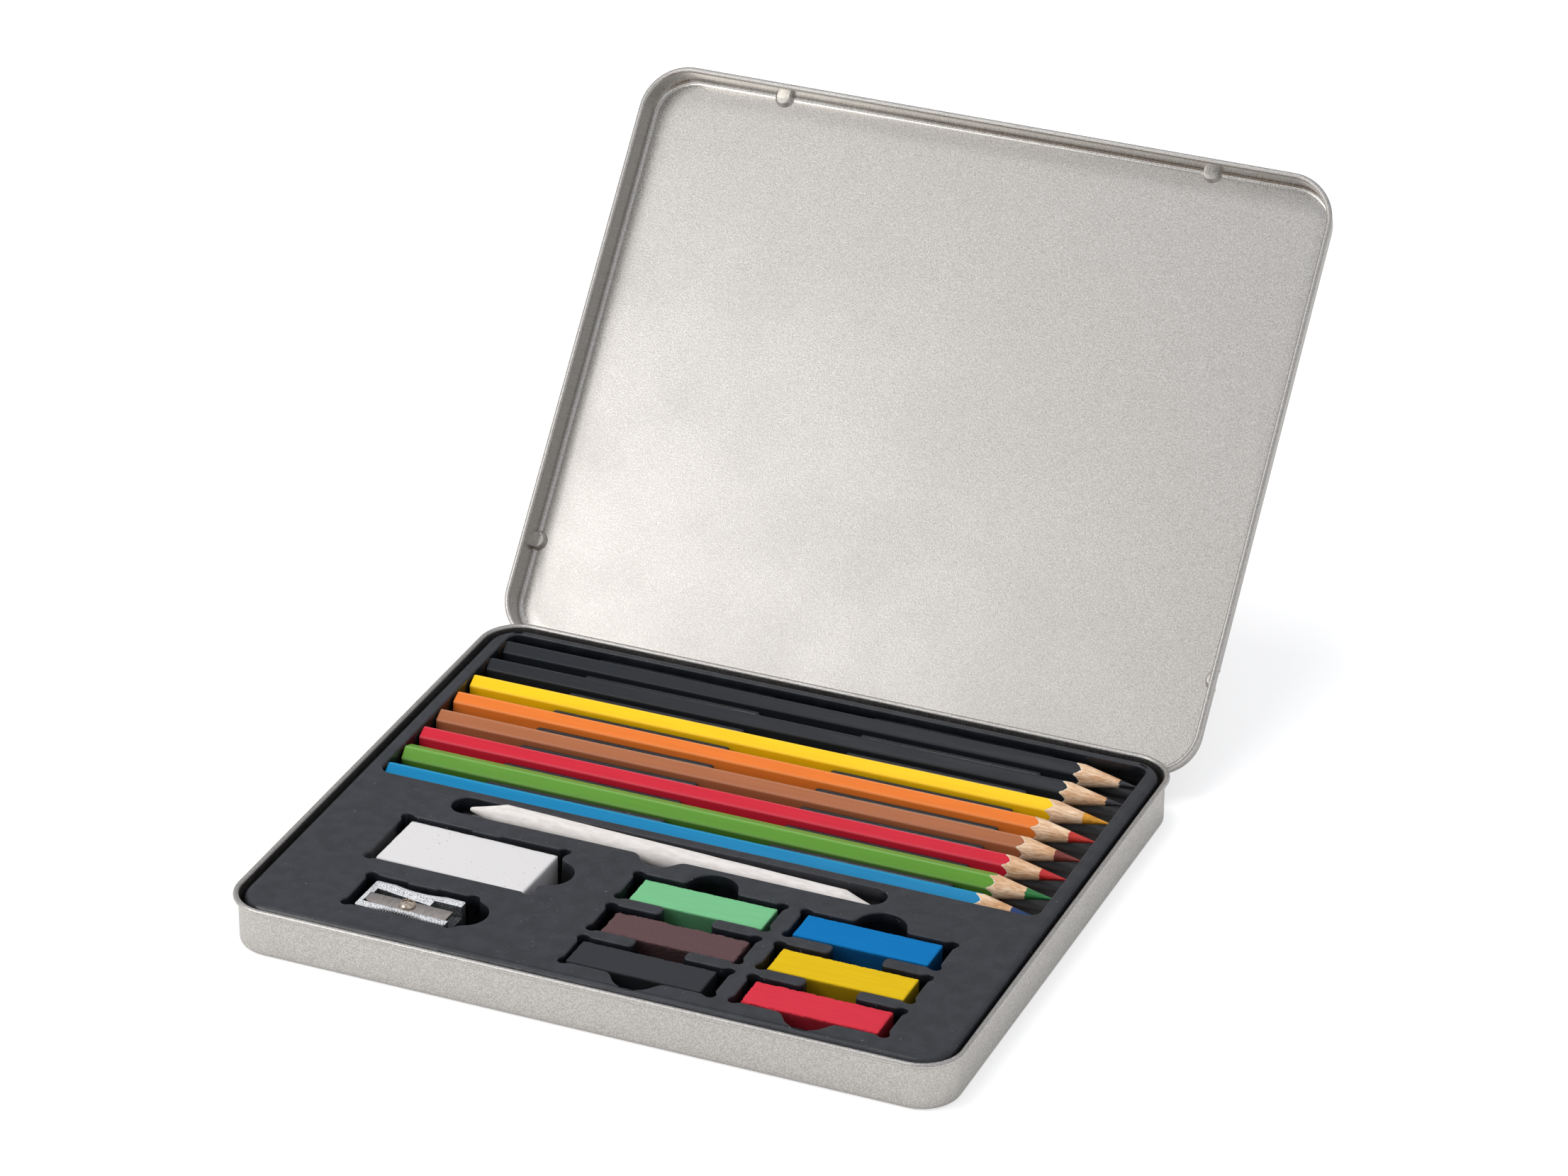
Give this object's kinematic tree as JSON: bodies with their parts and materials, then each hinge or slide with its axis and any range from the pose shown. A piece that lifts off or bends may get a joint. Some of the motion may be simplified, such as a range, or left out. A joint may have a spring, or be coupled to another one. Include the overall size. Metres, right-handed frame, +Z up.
{
  "type": "colored pencil tin",
  "caption": "Flat hinged tin, lid open, with a black moulded tray of colored and graphite pencils, a paper stump, an eraser, a sharpener and short pastels.",
  "frame": {"origin": "middle of the base's underside, on the surface that the tin stands on", "axes": "+X along the hinge to the right, +Y from the front to the hinge, +Z up"},
  "size_m": [0.1932, 0.2649, 0.1301],
  "materials": {
    "tinplate": "satin, fine grain",
    "hinge_wire": "drawn wire",
    "tray_plastic": "matte deck, glossy pocket walls",
    "lacquer_black": "lacquered, bare wood at the sharpened cone",
    "lacquer_yellow": "lacquered, bare wood at the sharpened cone",
    "lacquer_orange": "lacquered, bare wood at the sharpened cone",
    "lacquer_brown": "lacquered, bare wood at the sharpened cone",
    "lacquer_red": "lacquered, bare wood at the sharpened cone",
    "lacquer_green": "lacquered, bare wood at the sharpened cone",
    "lacquer_blue": "lacquered, bare wood at the sharpened cone",
    "lead_graphite": "matte",
    "lead_yellow": "matte",
    "lead_orange": "matte",
    "lead_brown": "matte",
    "lead_red": "matte",
    "lead_green": "matte",
    "lead_blue": "matte",
    "pastel_green": "chalky",
    "pastel_blue": "chalky",
    "pastel_brown": "chalky",
    "pastel_yellow": "chalky",
    "pastel_black": "chalky",
    "pastel_red": "chalky",
    "paper": "felted grey paper",
    "rubber": "matte",
    "alloy": "milled",
    "blade_steel": "ground"
  },
  "bodies": {
    "base": {"base_shell": "tinplate", "hinge_strap_left": "tinplate", "hinge_strap_right": "tinplate"},
    "lid": {"lid_shell": "tinplate", "hinge_pin_left": "hinge_wire", "hinge_pin_right": "hinge_wire"},
    "tray": {"tray": "tray_plastic"},
    "black_rear_pencil": {"pencil_black_rear": "lacquer_black", "lead_black_rear": "lead_graphite"},
    "black_front_pencil": {"pencil_black_front": "lacquer_black", "lead_black_front": "lead_graphite"},
    "yellow_pencil": {"pencil_yellow": "lacquer_yellow", "lead_yellow": "lead_yellow"},
    "orange_pencil": {"pencil_orange": "lacquer_orange", "lead_orange": "lead_orange"},
    "brown_pencil": {"pencil_brown": "lacquer_brown", "lead_brown": "lead_brown"},
    "red_pencil": {"pencil_red": "lacquer_red", "lead_red": "lead_red"},
    "green_pencil": {"pencil_green": "lacquer_green", "lead_green": "lead_green"},
    "blue_pencil": {"pencil_blue": "lacquer_blue", "lead_blue": "lead_blue"},
    "stump": {"blending_stump": "paper"},
    "rubber": {"eraser": "rubber"},
    "sharpener": {"sharpener_body": "alloy", "sharpener_blade": "blade_steel", "sharpener_screw": "blade_steel"},
    "green_pastel": {"pastel_green": "pastel_green"},
    "blue_pastel": {"pastel_blue": "pastel_blue"},
    "brown_pastel": {"pastel_brown": "pastel_brown"},
    "yellow_pastel": {"pastel_yellow": "pastel_yellow"},
    "black_pastel": {"pastel_black": "pastel_black"},
    "red_pastel": {"pastel_red": "pastel_red"}
  },
  "joints": [
    {"name": "lid_hinge", "type": "hinge", "parent": "base", "child": "lid", "pos_m": [0, 0.07932, 0.00778], "axis": [-1, 0, 0], "range_deg": [-130, 0]},
    {"name": "tray_lift", "type": "slide", "parent": "base", "child": "tray", "axis": [0, 0, 1], "range_m": [0, 0.03]},
    {"name": "black_rear_pencil_lift", "type": "slide", "parent": "tray", "child": "black_rear_pencil", "axis": [0, 0, 1], "range_m": [0, 0.03]},
    {"name": "black_front_pencil_lift", "type": "slide", "parent": "tray", "child": "black_front_pencil", "axis": [0, 0, 1], "range_m": [0, 0.03]},
    {"name": "yellow_pencil_lift", "type": "slide", "parent": "tray", "child": "yellow_pencil", "axis": [0, 0, 1], "range_m": [0, 0.03]},
    {"name": "orange_pencil_lift", "type": "slide", "parent": "tray", "child": "orange_pencil", "axis": [0, 0, 1], "range_m": [0, 0.03]},
    {"name": "brown_pencil_lift", "type": "slide", "parent": "tray", "child": "brown_pencil", "axis": [0, 0, 1], "range_m": [0, 0.03]},
    {"name": "red_pencil_lift", "type": "slide", "parent": "tray", "child": "red_pencil", "axis": [0, 0, 1], "range_m": [0, 0.03]},
    {"name": "green_pencil_lift", "type": "slide", "parent": "tray", "child": "green_pencil", "axis": [0, 0, 1], "range_m": [0, 0.03]},
    {"name": "blue_pencil_lift", "type": "slide", "parent": "tray", "child": "blue_pencil", "axis": [0, 0, 1], "range_m": [0, 0.03]},
    {"name": "stump_lift", "type": "slide", "parent": "tray", "child": "stump", "axis": [0, 0, 1], "range_m": [0, 0.03]},
    {"name": "rubber_lift", "type": "slide", "parent": "tray", "child": "rubber", "axis": [0, 0, 1], "range_m": [0, 0.03]},
    {"name": "sharpener_lift", "type": "slide", "parent": "tray", "child": "sharpener", "axis": [0, 0, 1], "range_m": [0, 0.03]},
    {"name": "green_pastel_lift", "type": "slide", "parent": "tray", "child": "green_pastel", "axis": [0, 0, 1], "range_m": [0, 0.03]},
    {"name": "blue_pastel_lift", "type": "slide", "parent": "tray", "child": "blue_pastel", "axis": [0, 0, 1], "range_m": [0, 0.03]},
    {"name": "brown_pastel_lift", "type": "slide", "parent": "tray", "child": "brown_pastel", "axis": [0, 0, 1], "range_m": [0, 0.03]},
    {"name": "yellow_pastel_lift", "type": "slide", "parent": "tray", "child": "yellow_pastel", "axis": [0, 0, 1], "range_m": [0, 0.03]},
    {"name": "black_pastel_lift", "type": "slide", "parent": "tray", "child": "black_pastel", "axis": [0, 0, 1], "range_m": [0, 0.03]},
    {"name": "red_pastel_lift", "type": "slide", "parent": "tray", "child": "red_pastel", "axis": [0, 0, 1], "range_m": [0, 0.03]}
  ]
}
